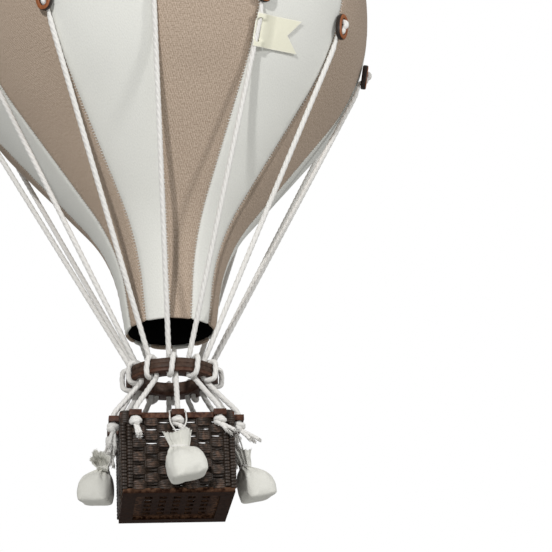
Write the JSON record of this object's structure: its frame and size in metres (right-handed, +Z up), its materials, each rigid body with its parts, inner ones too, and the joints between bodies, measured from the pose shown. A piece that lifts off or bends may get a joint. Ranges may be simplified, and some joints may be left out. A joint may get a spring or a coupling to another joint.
{
  "type": "hanging hot air balloon decoration",
  "caption": "Hanging toy hot air balloon: striped fabric envelope open at its mouth, ropes on wooden toggles, wooden load ring, woven basket with sandbags.",
  "frame": {"origin": "the point inside the top of the hanging loop that a hook bears on, on the balloon's axis", "axes": "+Z up along the balloon's axis, -Y the front, where the first seam and one flat side of the basket face, each turned by a few degrees, +X to the right seen from the front"},
  "size_m": [0.3246, 0.3246, 0.59],
  "materials": {
    "light_fabric": "warm white knitted cotton",
    "taupe_fabric": "taupe knitted cotton",
    "rope_cotton": "three-strand twisted cotton rope, off-white",
    "toggle_wood": "orange-brown oiled wood with dark sides",
    "ring_wood": "dark brown stained wood, worn satin",
    "basket_wood": "dark red-brown stained wood",
    "wicker": "dark stained woven rattan strands",
    "bag_cotton": "off-white plain cotton",
    "tag_card": "cream card, bare"
  },
  "bodies": {
    "balloon": {"crown_patch": "light_fabric", "hanging_loop": "rope_cotton", "mouth_hem": "light_fabric", "gore_01": "taupe_fabric", "gore_02": "light_fabric", "gore_03": "taupe_fabric", "gore_04": "light_fabric", "gore_05": "taupe_fabric", "gore_06": "light_fabric", "gore_07": "taupe_fabric", "gore_08": "light_fabric", "gore_09": "taupe_fabric", "gore_10": "light_fabric", "gore_11": "taupe_fabric", "gore_12": "light_fabric", "toggle_01": "toggle_wood", "toggle_02": "toggle_wood", "toggle_03": "toggle_wood", "toggle_04": "toggle_wood", "toggle_05": "toggle_wood", "toggle_06": "toggle_wood", "toggle_07": "toggle_wood", "toggle_08": "toggle_wood", "toggle_09": "toggle_wood", "toggle_10": "toggle_wood", "toggle_11": "toggle_wood", "toggle_12": "toggle_wood", "rope_01": "rope_cotton", "rope_02": "rope_cotton", "rope_03": "rope_cotton", "rope_04": "rope_cotton", "rope_05": "rope_cotton", "rope_06": "rope_cotton", "rope_07": "rope_cotton", "rope_08": "rope_cotton", "rope_09": "rope_cotton", "rope_10": "rope_cotton", "rope_11": "rope_cotton", "rope_12": "rope_cotton", "load_ring": "ring_wood", "basket_rim": "basket_wood", "basket_base": "basket_wood", "wall_front": "wicker", "wall_right": "wicker", "wall_back": "wicker", "wall_left": "wicker", "corner_1": "wicker", "corner_2": "wicker", "corner_3": "wicker", "corner_4": "wicker", "tag": "tag_card"},
    "bag_front": {"sandbag_front": "bag_cotton", "bag_string_front": "rope_cotton"},
    "bag_right": {"sandbag_right": "bag_cotton", "bag_string_right": "rope_cotton"},
    "bag_back": {"sandbag_back": "bag_cotton", "bag_string_back": "rope_cotton"},
    "bag_left": {"sandbag_left": "bag_cotton", "bag_string_left": "rope_cotton"}
  },
  "joints": [
    {"name": "bag_swing_front", "type": "hinge", "parent": "balloon", "child": "bag_front", "pos_m": [0.00247, -0.04042, -0.5281], "axis": [-0.9981, -0.061, 0], "range_deg": [0, 60]},
    {"name": "bag_swing_right", "type": "hinge", "parent": "balloon", "child": "bag_right", "pos_m": [0.04042, 0.00247, -0.5281], "axis": [0.061, -0.9981, 0], "range_deg": [0, 60]},
    {"name": "bag_swing_back", "type": "hinge", "parent": "balloon", "child": "bag_back", "pos_m": [-0.00247, 0.04042, -0.5281], "axis": [0.9981, 0.061, 0], "range_deg": [0, 60]},
    {"name": "bag_swing_left", "type": "hinge", "parent": "balloon", "child": "bag_left", "pos_m": [-0.04042, -0.00247, -0.5281], "axis": [-0.061, 0.9981, 0], "range_deg": [0, 60]}
  ]
}
